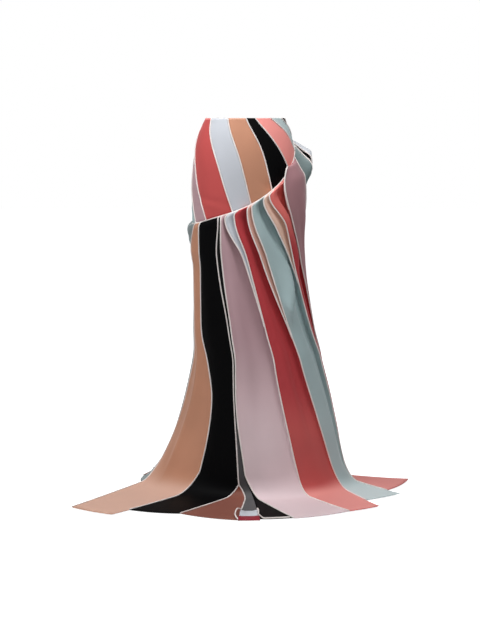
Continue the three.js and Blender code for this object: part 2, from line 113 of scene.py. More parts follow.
def ease(x):  # 0 to 1, flat at both ends
    x = clamp(x)
    return x * x * (3 - 2 * x)


def seamDrop(angle):  # the table covers one turn from 150 degrees
    return smooth(hipSeam, (angle - 150) % 360 + 150)


def onTube(angle, drop, out):
    a = math.radians(angle)
    return Vector((tubeShift(drop) + (tubeWidth(drop) + out) * math.cos(a),
                   tubeBack(drop) + (tubeDepth(drop) + out) * math.sin(a), -drop))


def onFloor(angle, reach):
    a = math.radians(angle)
    return Vector((reach * math.cos(a), reach * math.sin(a), cloth["solidWall"] - cloth["waistHeight"]))


def outwards(angle, drop):
    a = math.radians(angle)
    return Vector((math.cos(a) / tubeWidth(drop), math.sin(a) / tubeDepth(drop), 0)).normalized()


class Wire:  # a socket that Python's own signs work on
    def __init__(self, finish, socket):
        self.finish, self.socket = finish, socket

    def worked(self, operation, a, b):
        return self.finish.add("ShaderNodeMath", {"operation": operation}, {0: a, 1: b})

    def __add__(self, other): return self.worked("ADD", self, other)
    def __radd__(self, other): return self.worked("ADD", other, self)
    def __mul__(self, other): return self.worked("MULTIPLY", self, other)
    def __rmul__(self, other): return self.worked("MULTIPLY", other, self)


class Finish:  # the nodes of one material or world, and the shader that they feed
    def __init__(self, owner, shader="Principled BSDF"):
        owner.use_nodes = True
        self.owner = owner
        self.nodes, self.links = owner.node_tree.nodes, owner.node_tree.links
        self.shader = self.nodes[shader]

    def add(self, kind, settings=None, inputs=None, output=0):
        node = self.nodes.new(kind)
        for key, value in (settings or {}).items():
            setattr(node, key, value)
        for key, value in (inputs or {}).items():
            self.feed(node.inputs[key], value)
        return Wire(self, node.outputs[output])

    def feed(self, socket, value):
        if isinstance(value, Wire):
            self.links.new(value.socket, socket)
        elif socket.type == "RGBA":
            socket.default_value = (*value, 1)
        else:
            socket.default_value = value

    def set(self, **inputs):
        for key, value in inputs.items():
            self.feed(self.shader.inputs[key.replace("_", " ")], value)

    def mixColour(self, share, a, b):
        return self.add("ShaderNodeMix", {"data_type": "RGBA"}, {0: share, 6: a, 7: b}, 2)

    def noise(self, vector, scale, detail=2.0, roughness=0.5):
        return self.add("ShaderNodeTexNoise", {}, {"Vector": vector, "Scale": scale, "Detail": detail,
                                                   "Roughness": roughness})

    def between(self, value, low, high, toLow=0.0, toHigh=1.0):
        return self.add("ShaderNodeMapRange", {"interpolation_type": "SMOOTHSTEP"},
                        {0: value, 1: low, 2: high, 3: toLow, 4: toHigh})

    def upPart(self, vector):
        return self.add("ShaderNodeSeparateXYZ", {}, {0: vector}, "Z")

    def bump(self, strength, depth, height, under=None):
        inputs = {"Strength": strength, "Distance": depth, "Height": height}
        if under:
            inputs["Normal"] = under
        return self.add("ShaderNodeBump", {}, inputs)


colours = {  # dyes of the crepe; the copies listed under them are painted light and painted shade
    "coral": (0.550, 0.080, 0.077),
    "rose": (0.600, 0.330, 0.270),
    "ice": (0.560, 0.585, 0.635),
    "tan": (0.545, 0.258, 0.158),
    "black": (0.0024, 0.0024, 0.0028),
    "sage": (0.385, 0.500, 0.512),
    "mauve": (0.500, 0.320, 0.350),
    "slate": (0.270, 0.320, 0.325),
    "rust": (0.225, 0.056, 0.030),
    # painted light and shade: lit and shaded copies of the dyes above, each used on single pieces
    "deep coral": (0.455, 0.040, 0.048),
    "lit side coral": (0.760, 0.165, 0.145),
    "light coral": (0.900, 0.320, 0.290),
    "light sage": (0.500, 0.600, 0.610),
    "shadowed sage": (0.165, 0.220, 0.222),
    "deep slate": (0.062, 0.060, 0.063),
    "deep mauve": (0.415, 0.215, 0.235),
    "shaded coral": (0.300, 0.018, 0.035),
    "peach": (0.800, 0.520, 0.410),
}
crepe = {
    "grain": 950, "grainDepth": 0.00022, "grainStrength": 0.22,   # pebbled face, per metre
    "grainShade": 0.72, "grainShare": 0.16, "grainRoughness": 0.1, "grainSpan": (0.25, 0.75),
    "buckle": 22, "buckleDepth": 0.0016, "buckleStrength": 0.35,  # slow unevenness of the bonded cloth
    "patch": 5.0, "patchDark": 0.92, "patchLight": 1.05,          # cloudiness of the dye
    "span": (0.3, 0.7),                                           # part of a noise that counts
    "roughness": 0.56, "gloss": 0.3,
    "sheen": 0.5, "sheenRoughness": 0.38, "sheenWhite": 0.35, "sheenFull": 0.35,
    "dim": 0.1, "dimGloss": 0.05,                                 # black, which has no sheen
    "fade": (-0.09, 0.07),                                        # how far one colour runs into the next, above a given height
    "lying": (0.4, 0.98), "lowDown": (-1.12, -0.62),              # painted light: paler where it faces up, and low down
}
paintedLight = {  # painted light: how much paler the cloth is painted low down and where it lies flat, and the lit colour it goes to
    "coral": (0.06, 0.60, (0.93, 0.41, 0.37)), "tan": (0.02, 0.52, (0.78, 0.55, 0.46)),
    "mauve": (0.70, 0.0, (0.88, 0.74, 0.765)), "sage": (0.30, 0.46, (0.63, 0.70, 0.71)),
    "ice": (0.20, 0.40, (0.75, 0.76, 0.79)), "slate": (0.02, 0.06, (0.55, 0.56, 0.57)),
    "rust": (0.02, 0.04, (0.55, 0.45, 0.43)), "rose": (0.10, 0.40, (0.76, 0.57, 0.54)),
}


def scaled(rgb, by):
    return tuple(min(1, part * by) for part in rgb)


def crepeFinish(colour, name="", above="", height=0, pales=True):  # above that height it has another colour
    rgb = colours[colour]
    f = Finish(bpy.data.materials.new(name or colour + " crepe"))
    place = f.add("ShaderNodeTexCoord", output="Object")
    up = f.upPart(place)
    patch = f.noise(place, crepe["patch"])
    grain = f.noise(f.add("ShaderNodeUVMap", {"uv_map": "cut"}), crepe["grain"], 1.5, 0.6)
    buckle = f.noise(place, crepe["buckle"], 1.0, 0.4)
    dark, light, deep = [scaled(rgb, crepe[name]) for name in ("patchDark", "patchLight", "grainShade")]
    base = f.mixColour(f.between(patch, *crepe["span"]), dark, light)
    base = f.mixColour(f.between(grain, *crepe["grainSpan"]) * crepe["grainShare"], base, deep)
    if above:
        down, over = crepe["fade"]
        base = f.mixColour(f.between(up, height + down, height + over), base, colours[above])
    kind = colour.split()[-1]  # lit yoke coral takes the painted light of coral
    if pales and kind in paintedLight:
        low, flat, palest = paintedLight[kind]
        # painted light: paler where the cloth faces up and low on the skirt
        facing = f.upPart(f.add("ShaderNodeNewGeometry", output="Normal"))
        pale = f.between(facing, *crepe["lying"], 0, flat) + f.between(up, *crepe["lowDown"], low, 0)
        base = f.mixColour(pale, base, palest)
    dim = sum(rgb) < crepe["dim"]
    f.set(Base_Color=base,
          Roughness=crepe["roughness"] + crepe["grainRoughness"] * f.between(grain, *crepe["span"]),
          Normal=f.bump(crepe["grainStrength"], crepe["grainDepth"], grain,
                        f.bump(crepe["buckleStrength"], crepe["buckleDepth"], buckle)),
          Sheen_Weight=0.0 if dim else crepe["sheen"] * min(1, max(rgb) / crepe["sheenFull"]) ** 2,
          Sheen_Roughness=crepe["sheenRoughness"],
          Sheen_Tint=tuple(mix(part, 1, crepe["sheenWhite"]) for part in rgb),
          Specular_IOR_Level=crepe["dimGloss"] if dim else crepe["gloss"])
    return f.owner


satin = {
    "colour": (0.86, 0.80, 0.775), "shade": (0.62, 0.50, 0.47), "shadeShare": 0.35, "worn": 30,
    "rib": 1400, "ribStrength": 0.25, "ribDepth": 0.0003,
    "roughness": 0.42, "wornRoughness": 0.12, "sheen": 0.1,
}


def satinFinish():
    f = Finish(bpy.data.materials.new("satin piping"))
    place = f.add("ShaderNodeTexCoord", output="Object")
    worn = f.noise(place, satin["worn"])
    shade = f.between(worn, 0.35, 0.75) * satin["shadeShare"]
    f.set(Base_Color=f.mixColour(shade, satin["colour"], satin["shade"]),
          Roughness=satin["roughness"] + satin["wornRoughness"] * worn,
          Normal=f.bump(satin["ribStrength"], satin["ribDepth"], f.noise(place, satin["rib"], 1.0)),
          Sheen_Weight=satin["sheen"])
    return f.owner


plainCrepes = ("coral", "rose", "ice", "tan", "black", "sage", "mauve", "slate", "rust")
finishes = {colour: crepeFinish(colour) for colour in plainCrepes}
finishes["piping"] = satinFinish()
tones = {  # pieces whose crepe is painted lighter or darker than the rest of its colour, as painted light and painted shade, or changes colour down the skirt
    # painted highlight: a lit copy of coral on the yoke's right stripe
    "yoke_06_coral": crepeFinish("light coral"),
    # painted light: a lit copy of sage on the yoke stripe
    "yoke_07_sage": crepeFinish("light sage"),
    # painted shade: the coral is darker above -0.9 m, down the front
    "front_coral": crepeFinish("coral", "coral crepe, painted shade above", "deep coral", -0.9),
    # painted shade: a darker slate inside the pleat; above -0.95 m it turns black
    "pleat_slate": crepeFinish("deep slate", "shadowed slate crepe, black above", "black", -0.95),
    # painted light above -0.33 m and painted shade below it
    "side_coral": crepeFinish("deep coral", "coral crepe, painted light above, painted shade below", "lit side coral", -0.33),
    # painted shade: a darker copy of mauve on the side lobe
    "side_mauve": crepeFinish("deep mauve"),
    # painted shade: the sage is darker above -0.25 m
    "side_sage": crepeFinish("sage", "sage crepe, painted shade above", "shadowed sage", -0.25),
    # painted light: a lighter copy of tan on the insert
    "insert_tan": crepeFinish("peach"),
    "hem_turn_ice": crepeFinish("ice", "hem_turn_ice crepe", pales=False),
    "hem_turn_coral": crepeFinish("shaded coral", "hem_turn_coral crepe", pales=False),
}
print("finishes made:", len(finishes) + len(tones))


def link(piece):
    bpy.context.scene.collection.objects.link(piece)
    return piece


def rideRoot(piece, node=None):  # the skirt is one body
    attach(piece, "root")
    if node:
        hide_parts(node)


def flatCut(rows):  # place of each point on the cut cloth in metres, and the cut's width, length and area
    runs = [0.0]
    middle = len(rows[0]) // 2
    for above, below in zip(rows, rows[1:]):
        runs.append(runs[-1] + (below[middle] - above[middle]).length)
    widths, cut, area = [], [], 0.0
    for r, row in enumerate(rows):
        across = [0.0]
        for left, right in zip(row, row[1:]):
            across.append(across[-1] + (right - left).length)
        widths.append(across[-1])
        cut.append([((x - across[-1] / 2) * mm, -runs[r] * mm) for x in across])
        if r:
            above = rows[r - 1]
            for c in range(len(row) - 1):
                a, b, d, e = above[c], row[c], row[c + 1], above[c + 1]
                area += ((b - a).cross(d - a).length + (d - a).cross(e - a).length) / 2
    return cut, max(widths) * mm, runs[-1] * mm, area * mm * mm


def clothMesh(name, rows, finish, cut):  # rows of points downwards, columns to the right
    count = len(rows[0])
    faces = []
    for r in range(len(rows) - 1):
        for a in range(r * count, (r + 1) * count - 1):
            faces.append((a, a + count, a + count + 1, a + 1))
    mesh = bpy.data.meshes.new(name)
    mesh.from_pydata([p * mm for row in rows for p in row], [], faces)
    layer = mesh.uv_layers.new(name="cut")
    flat = [uv for row in cut for uv in row]
    for loop in mesh.loops:
        layer.data[loop.index].uv = flat[loop.vertex_index]
    mesh.polygons.foreach_set("use_smooth", [True] * len(mesh.polygons))
    mesh.materials.append(finish)
    return mesh


sheetRule = {  # metres, and the least and the stated share of width times length that the area fills
    "narrowest": 0.0102, "leastShare": 0.31, "share": 0.35,
}
wholeCut = []


def makeCloth(node, colour, rows):  # a piece with its wall, and its cut size listed for the print at the end
    cut, width, length, area = flatCut(rows)
    name = node + "_cloth"
    piece = link(bpy.data.objects.new(name, clothMesh(name, rows, tones.get(node, finishes[colour]), cut)))
    wall = piece.modifiers.new("wall", "SOLIDIFY")
    wall.thickness = cloth["wall"] * mm
    wall.offset = -1
    rideRoot(piece, node)
    width = max(width, sheetRule["narrowest"])
    area = min(area, width * length)
    if area < sheetRule["leastShare"] * width * length:  # a pointed piece is stated shorter, by its area
        length = area / (sheetRule["share"] * width)
    wholeCut.append((node, round(width, 3), round(length, 3), round(area, 4)))


def pipingTree():  # sweeps a round cord along any seam line
    tree = bpy.data.node_groups.new("piping along a seam", "GeometryNodeTree")
    sockets = {"Seam": "Geometry", "Radius": "Float", "Step": "Float", "Sides": "Int", "Finish": "Material"}
    for name, kind in sockets.items():
        tree.interface.new_socket(name, in_out="INPUT", socket_type="NodeSocket" + kind)
    tree.interface.new_socket("Piping", in_out="OUTPUT", socket_type="NodeSocketGeometry")
    given, done = tree.nodes.new("NodeGroupInput"), tree.nodes.new("NodeGroupOutput")
    line, spline, even, ring, sweep, shade, whole, paint = [
        tree.nodes.new("GeometryNode" + kind) for kind in (
            "MeshToCurve", "CurveSplineType", "ResampleCurve", "CurvePrimitiveCircle", "CurveToMesh",
            "SetShadeSmooth", "RealizeInstances", "SetMaterial")]
    spline.spline_type = "CATMULL_ROM"
    even.mode = "LENGTH"
    sweep.inputs["Fill Caps"].default_value = True
    for start, output, end, into in (
            (given, "Seam", line, "Mesh"), (line, "Curve", spline, "Curve"),
            (spline, "Curve", even, "Curve"), (given, "Step", even, "Length"),
            (given, "Radius", ring, "Radius"), (given, "Sides", ring, "Resolution"),
            (even, "Curve", sweep, "Curve"), (ring, "Curve", sweep, "Profile Curve"),
            (sweep, "Mesh", shade, "Geometry"),
            (shade, "Geometry", whole, "Geometry"), (whole, "Geometry", paint, "Geometry"),
            (given, "Finish", paint, "Material"), (paint, "Geometry", done, "Piping")):
        tree.links.new(start.outputs[output], end.inputs[into])
    return tree


pipingNodes = pipingTree()
piping = {
    "radius": 2.15, "step": 7, "sides": 10, "proud": 0.8,
    "fallsFrom": 0.15,  # how steep a seam is that still falls, and doesn't lie on the floor
}


def makePiping(name, lines, radius, node=None, closed=False):  # lines of points in millimetres
    points, edges = [], []
    for line in lines:
        first = len(points)
        points += [p * mm for p in line]
        edges += [(k, k + 1) for k in range(first, len(points) - 1)]
        if closed:
            edges.append((len(points) - 1, first))
    mesh = bpy.data.meshes.new(name)
    mesh.from_pydata(points, edges, [])
    seam = link(bpy.data.objects.new(name, mesh))
    sweep = seam.modifiers.new("piping", "NODES")
    sweep.node_group = pipingNodes
    sizes = {"Radius": radius * mm, "Step": piping["step"] * mm, "Sides": piping["sides"],
             "Finish": finishes["piping"]}
    for item in pipingNodes.interface.items_tree:
        if item.name in sizes:
            sweep[item.identifier] = sizes[item.name]
    bpy.context.view_layer.update()
    made = bpy.data.meshes.new_from_object(seam.evaluated_get(bpy.context.evaluated_depsgraph_get()))
    seam.modifiers.remove(sweep)
    seam.data = made
    made.name = name
    rideRoot(seam, node)


yokeStripes = [  # colour, and angle of the seam at its left: at the waist, below the middle, at the hip
    ("mauve", 150, 175, 203), ("coral", 166, 197, 224), ("ice", 213, 237, 257),
    ("tan", 245, 263.5, 276.5), ("black", 271.5, 289.5, 300), ("coral", 285, 306.5, 327),
    ("sage", 310.5, 334, 351), ("black", 336, 355, 372), ("tan", 357, 377, 395),
    ("mauve", 382, 402, 421), ("ice", 408, 429, 448), ("coral", 434, 456, 475),
    ("black", 459, 482, 502), ("sage", 485, 509, 531),
]
yoke = {
    "rows": 40, "columns": 12, "middle": 0.45, "pipingShare": 0.95,
    "hipRadius": 145, "dragReach": 9, "calmTop": 25,  # how wide the drags spread, and the smooth waist edge
}
yokeDrags = [  # soft drags in the fitted cloth: angle, drop, half length, half width, turn, lift
    (292, 205, 30, 7, 38, -1.3), (284, 226, 24, 6, 30, 1.1), (300, 186, 26, 6, 42, 1.0),
    (306, 160, 34, 9, 55, -1.0), (230, 268, 38, 9, 12, 0.9), (222, 250, 44, 10, 10, -0.9),
    (246, 262, 30, 8, 16, -0.8), (206, 240, 40, 10, 80, 0.8), (262, 150, 60, 22, 85, 1.2),
    (244, 90, 46, 15, 70, -0.8), (290, 74, 40, 14, 100, -0.8), (318, 110, 34, 8, 60, 0.9),
    (345, 60, 36, 10, 80, -0.9), (380, 66, 34, 9, 96, 0.9), (402, 90, 34, 10, 120, -1.0),
    (428, 130, 40, 10, 125, 1.0), (450, 170, 60, 26, 90, 1.4), (468, 214, 40, 10, 140, -1.1),
    (492, 262, 36, 9, 150, 1.0), (512, 220, 50, 12, 100, -0.9), (176, 280, 36, 9, 20, 0.9),
    (186, 150, 60, 16, 88, -0.9), (436, 60, 40, 12, 80, -0.8), (480, 90, 46, 14, 95, 0.8),
]


def yokeRelief(angle, drop):
    lift = 0.0
    for at, low, long, wide, turn, high in yokeDrags:
        aside = math.radians((angle - at + 180) % 360 - 180) * yoke["hipRadius"]
        down = drop - low
        c, s = math.cos(math.radians(turn)), math.sin(math.radians(turn))
        along, over = aside * c + down * s, down * c - aside * s
        d = (along / long) ** 2 + (over / wide) ** 2
        if d < yoke["dragReach"]:
            lift += high * math.exp(-d)
    return lift * ease(drop / yoke["calmTop"])


def stripeAngle(stripe, share):
    return smooth([(0, stripe[1]), (yoke["middle"], stripe[2]), (1, stripe[3])], share)


def stripePoint(left, right, turn, across, share):
    hip = mix(left[3], right[3] + turn, across)
    angle = mix(stripeAngle(left, share), stripeAngle(right, share) + turn, across)
    drop = share * (seamDrop(hip) - cloth["seamRoom"])
    return onTube(angle, drop, yokeRelief(angle, drop)), angle, drop


def buildYoke():
    seams = []
    downs = [r / yoke["rows"] for r in range(yoke["rows"] + 1)]
    acrosses = [c / yoke["columns"] for c in range(yoke["columns"] + 1)]
    for i, left in enumerate(yokeStripes):
        right = yokeStripes[(i + 1) % len(yokeStripes)]
        turn = 0 if i + 1 < len(yokeStripes) else 360
        rows = [[stripePoint(left, right, turn, across, down)[0] for across in acrosses] for down in downs]
        makeCloth("yoke_%02d_%s" % (i + 1, left[0]), left[0], rows)
        edge = [stripePoint(left, right, turn, 0, down) for down in downs]
        seams.append([point + outwards(angle, drop) * piping["proud"] for point, angle, drop in edge])
    makePiping("yoke_seam_piping", seams, piping["radius"] * yoke["pipingShare"])
    print("yoke stripes:", len(yokeStripes))


hipPiping = {"radius": 2.1, "proud": 0.5, "points": 180}


def buildHipPiping():
    line = []
    for k in range(hipPiping["points"]):
        angle = 360 / hipPiping["points"] * k
        drop = seamDrop(angle)
        line.append(onTube(angle, drop, yokeRelief(angle, drop) + hipPiping["proud"]))
    makePiping("hip_seam_piping", [line], hipPiping["radius"], "hip_piping", closed=True)
    print("hip seam piped")


gore = {
    "columns": 22, "narrowColumns": 10, "crowd": 0.06,  # the crowd draws columns towards the folds
    "shoulderRows": [0, 0.06, 0.12, 0.2, 0.3, 0.42, 0.56, 0.7, 0.85, 1],
    "fallRows": [(420, 14), (640, 12), (880, 12)], "footRows": 12, "bend": 1105,
    "bendSteps": 14, "floorSteps": 9, "landing": 0.2, "liftCurve": 2.2,
    "roll": 18, "hold": 90, "release": 470,             # a fold rolls off the hip seam, stands, and settles
    "rollStart": 0.22, "leanAtRoll": 0.5, "standAtRoll": 0.82,
    "tip": 0.45, "apart": 0.2,                          # least angle of an insert, and of what shows
    "roundness": 4, "swellHold": 0.72, "dipWidth": 26, "deeper": 1.8, "underlap": 0.9,
    "prouder": 1.25, "proudBelow": 25,                  # the folds that stand less than this stand prouder
}
stations = {"upper": 330, "thigh": 420, "knee": 640, "shin": 880, "foot": 1090}
dipAcross = [(0, 0), (0.22, 0.06), (0.5, 0.42), (0.8, 0.95), (0.92, 1), (1, 0)]
dipDown = [(0, 1), (330, 1), (640, 0.75), (880, 0.5), (1105, 0.25)]
dipBelowRoll = [(0.3, 0), (1.8, 1)]
tuckAcross = [(0.7, 0), (0.9, 1), (1, 0)]


def fold(name, colour, **values):
    return dict(values, name=name, colour=colour)


# Each fold is the left edge of the piece that it names. hip, shoulder and the stations are its angles on
# the way down, and corner and hem those of its bend and of the cut edge. stand and settle are how far it
# stands out above and below its release, and dip is how deep the piece falls back behind the next fold.
# before and after are how far the pieces at its sides run out over the floor. An insert closes at its tip.
folds = [
    fold("front_tan", "tan", hip=208, shoulder=201, thigh=186, knee=188, shin=183, foot=179, corner=186,
         hem=209.5, landing=0.1, before=341, after=604, stand=5, settle=0, dip=3),
    fold("front_black", "black", hip=217.5, shoulder=214.5, thigh=213, knee=211.5, shin=232, foot=236.3,
         corner=235.3, hem=224, before=552, after=478, stand=6, settle=3, dip=4),
    fold("pleat_rust", "rust", hip=242, shoulder=242.3, thigh=238.8, knee=246.6, shin=252.3, foot=261.5,
         corner=262, bend=1138, hem=242, before=412, after=412, columns=10, stand=9, settle=9, dip=0),
    fold("pleat_slate", "slate", follows="before", opens=1128, corner=269.5, hem=267, before=438,
         after=327, settle=4, dip=14),
    fold("pleat_black", "black", follows="after", opens=1095, corner=272.9, hem=276, before=327, after=425,
         settle=4, dip=0),
    fold("front_mauve", "mauve", hip=245.7, shoulder=246.3, thigh=244.8, knee=249.9, shin=254.3,
         foot=265.6, corner=273.4, hem=289, before=437, after=443, stand=14, settle=14, dip=15),
    fold("insert_ice", "ice", hip=257.7, shoulder=250.5, thigh=265.2, tip=640, stand=12, dip=8),
    fold("front_coral", "coral", hip=266.9, shoulder=259.8, thigh=269, knee=280.4, shin=288.5, foot=297.7,
         corner=300.5, hem=312.2, before=466, after=466, stand=16, settle=14, dip=14),
    fold("insert_rose", "rose", hip=277, shoulder=272.2, thigh=282.2, tip=690, stand=15, dip=8),
    fold("front_sage", "sage", hip=284.3, shoulder=276.4, thigh=288, knee=302.8, shin=315.8, foot=327,
         corner=331, hem=324.2, before=504, after=440, columns=36, stand=19, settle=16, dip=17),
    fold("insert_tan", "tan", hip=295.2, shoulder=287.4, upper=300.5, thigh=313, tip=520, stand=18, dip=8),
    fold("side_coral", "coral", hip=302.1, shoulder=292.6, upper=311.5, thigh=318.5, knee=333, shin=351,
         foot=356, hem=342.9, before=511, after=470, columns=36, stand=21, settle=12, dip=16),
    fold("insert_black", "black", hip=317.5, shoulder=309.4, thigh=328, tip=290, stand=22, dip=2),
    fold("side_mauve", "mauve", hip=319.2, shoulder=308.8, thigh=336, knee=357, shin=367, foot=371,
         hem=364.1, landing=0.1, before=538, after=362, stand=28, settle=5, dip=2, swell=12,
         swellTo=450, rise=34),
    fold("side_sage", "sage", hip=345, shoulder=346, thigh=361, knee=375, shin=386, foot=391, hem=397.5,
         before=376, after=380, stand=28, settle=6, dip=0, swell=14, swellTo=205, roll=62, hold=120,
         release=430, slope=(0.5, 0.5)),
    fold("back_black", "black", hip=360, shoulder=353, thigh=380, knee=393, shin=404, foot=409, hem=413,
         before=415, after=400, stand=48, settle=8, dip=20, roll=58, hold=72, release=206,
         slope=(0.5, 0.5)),
    fold("back_ice", "ice", hip=364, shoulder=357, thigh=396, knee=411, shin=422, foot=427, hem=432,
         before=470, after=440, stand=48, settle=10, dip=8, swell=16, swellTo=200, roll=44, hold=62,
         release=200, slope=(0.5, 0.5)),
    fold("back_coral", "coral", hip=402, shoulder=397, thigh=420, knee=432, shin=441, foot=446, hem=450,
         before=505, after=460, stand=26, settle=12, dip=14),
    fold("back_tan", "tan", hip=432, shoulder=428, thigh=443, knee=453, shin=460, foot=464, hem=467,
         before=500, after=460, stand=18, settle=12, dip=14),
    fold("back_mauve", "mauve", hip=459, shoulder=456, thigh=466, knee=473, shin=479, foot=483, hem=486,
         before=450, after=380, stand=16, settle=12, dip=14),
    fold("back_rust", "rust", hip=485, shoulder=482.5, thigh=489, knee=494, shin=499, foot=503, hem=507,
         before=372, after=356, stand=16, settle=12, dip=14),
    fold("back_slate", "slate", hip=510, shoulder=509, thigh=512, knee=514, shin=517, foot=520, hem=524,
         before=352, after=345, stand=26, settle=4, dip=8, roll=28, hold=60, release=440),
]
# Creases inside a gore: course of (run, share across), half width, lift, and how much steeper the right
# side is. A run is the drop below the waist, and goes on along the cloth over the floor.
creases = {
    "front_tan": [([(560, 0.7), (700, 0.63), (850, 0.58), (1000, 0.52), (1230, 0.5)], 17, 9.0, 1.0),
                  ([(380, 0.8), (640, 0.82), (900, 0.78), (1120, 0.8)], 16, -3.5, 1.4),
                  ([(620, 0.22), (860, 0.24), (1090, 0.2)], 18, -4.0, 0.8)],
    "front_black": [([(350, 0.35), (560, 0.42), (820, 0.5), (1010, 0.55)], 24, 5.0, 1.5),
                    ([(480, 0.72), (760, 0.74), (1060, 0.7)], 18, -4.0, 1.0),
                    ([(700, 0.2), (960, 0.24), (1150, 0.3)], 20, 4.0, 1.0)],
    "front_mauve": [([(360, 0.24), (620, 0.22), (900, 0.24), (1150, 0.3)], 20, 5.0, 0.7),
                    ([(400, 0.6), (640, 0.55), (860, 0.5), (1050, 0.46)], 30, -7.0, 0.8),
                    ([(700, 0.82), (900, 0.78), (1110, 0.76)], 22, 3.5, 1.0)],
    "front_coral": [([(330, 0.3), (520, 0.32), (800, 0.36), (1100, 0.4)], 16, 3.5, 1.0),
                    ([(640, 0.7), (860, 0.68), (1080, 0.66)], 20, -4.0, 1.0)],
    "front_sage": [([(320, 0.88), (444, 0.72), (528, 0.5), (626, 0.1), (690, 0.0)], 30, 24.0, 1.7),
                   ([(330, 0.25), (500, 0.22), (640, 0.2)], 18, -3.0, 1.0),
                   ([(760, 0.55), (930, 0.52), (1110, 0.5)], 24, 4.0, 1.3)],
    "side_coral": [([(215, 0.5), (290, 0.6), (390, 0.5), (500, 0.25)], 16, 14.0, 2.0),
                   ([(700, 0.5), (900, 0.48), (1120, 0.5)], 24, 4.5, 1.0)],
    "side_mauve": [([(190, 0.3), (260, 0.32), (340, 0.36), (470, 0.4)], 15, -4.5, 1.6),
                   ([(210, 0.62), (330, 0.6), (520, 0.62)], 18, 4.0, 1.0),
                   ([(640, 0.5), (860, 0.46), (1120, 0.5)], 24, 6.0, 1.0)],
    "side_sage": [([(190, 0.6), (260, 0.5), (400, 0.46)], 18, -4.0, 1.2),
                  ([(520, 0.4), (760, 0.42), (1000, 0.5), (1140, 0.5)], 22, 6.0, 1.2),
                  ([(700, 0.75), (900, 0.78)], 18, -3.5, 1.0)],
    "back_black": [([(220, 0.5), (400, 0.46), (640, 0.5)], 20, 5.0, 1.2),
                   ([(720, 0.4), (960, 0.44), (1130, 0.4)], 24, 5.0, 1.0)],
    "back_ice": [([(180, 0.42), (390, 0.36), (680, 0.4)], 20, 6.0, 1.4),
                 ([(520, 0.7), (800, 0.66), (1050, 0.7)], 20, -4.5, 1.0)],
    "back_coral": [([(290, 0.45), (520, 0.5), (840, 0.46), (1120, 0.5)], 22, 6.0, 1.2),
                   ([(420, 0.22), (640, 0.2)], 16, -3.5, 1.0)],
    "back_tan": [([(290, 0.6), (560, 0.54), (780, 0.58)], 20, 5.0, 0.8),
                 ([(800, 0.35), (980, 0.38), (1140, 0.4)], 22, 4.5, 1.0)],
    "back_mauve": [([(360, 0.35), (600, 0.4), (900, 0.42), (1110, 0.4)], 22, 6.0, 1.3),
                   ([(640, 0.72), (860, 0.7)], 18, -4.0, 1.0)],
    "back_rust": [([(390, 0.5), (640, 0.46), (860, 0.5)], 20, 5.0, 1.2),
                  ([(900, 0.6), (1120, 0.5)], 22, 4.0, 1.0)],
    "back_slate": [([(400, 0.4), (600, 0.5), (840, 0.46), (1100, 0.5)], 22, 5.0, 1.3),
                   ([(480, 0.75), (700, 0.72)], 16, -3.5, 1.0)],
}
hemLift = {  # how far the cut edge stands off the floor at each fold
    "front_tan": 3, "front_black": 5, "pleat_rust": 2, "pleat_slate": 3, "pleat_black": 1.5,
    "front_mauve": 3, "front_coral": 4, "front_sage": 6, "side_coral": 7, "side_mauve": 5, "side_sage": 4,
    "back_black": 3, "back_ice": 5, "back_coral": 6, "back_tan": 4, "back_mauve": 3, "back_rust": 2,
    "back_slate": 2,
}


def fallDrops(seam, roll, bend):
    drops = [seam + share * roll for share in gore["shoulderRows"]]
    for to, steps in gore["fallRows"] + [(bend, gore["footRows"])]:
        start = drops[-1]
        drops += [mix(start, to, (k + 1) / steps) for k in range(steps)]
    return drops


def goreTop(angle):
    return seamDrop(angle) + cloth["seamRoom"]


def courseOf(f):  # a fold's angle and stand at each of its rows
    roll, hold, release, bend = [f.get(name, gore[name]) for name in ("roll", "hold", "release", "bend")]
    rollStart, standAtRoll = f.get("slope", (gore["rollStart"], gore["standAtRoll"]))
    seam = goreTop(f["hip"])
    start = seam + roll * rollStart
    angles = [(seam, f["hip"]), (start, mix(f["hip"], f["shoulder"], gore["leanAtRoll"])),
              (seam + roll, f["shoulder"])]
    angles += [(drop, f[name]) for name, drop in stations.items() if name in f and name != "foot"]
    if "foot" in f:  # it swings on past the foot's own height to where the cloth bends over the floor
        foot, shin = stations["foot"], stations["shin"]
        angles.append((bend, f["foot"] + (f["foot"] - f["shin"]) * (bend - foot) / (foot - shin)))
    stand = f["stand"] * (gore["prouder"] if f["stand"] < gore["proudBelow"] else 1)
    stands = [(seam, 0), (start, stand * standAtRoll), (seam + roll, stand),
              (seam + hold, stand), (release, f["settle"]), (bend, f["settle"])]
    drops = fallDrops(seam, roll, bend)
    return {
        "angles": [smooth(angles, drop) for drop in drops],
        "stands": [smooth(stands, drop) for drop in drops],
        "corner": f.get("corner", f.get("foot", 0)), "landing": f.get("landing", gore["landing"]),
        "settle": f["settle"], "hem": f.get("hem", 0), "roll": roll, "bend": bend,
        "lift": hemLift.get(f["name"], 0), "rise": f.get("rise", 0),
    }


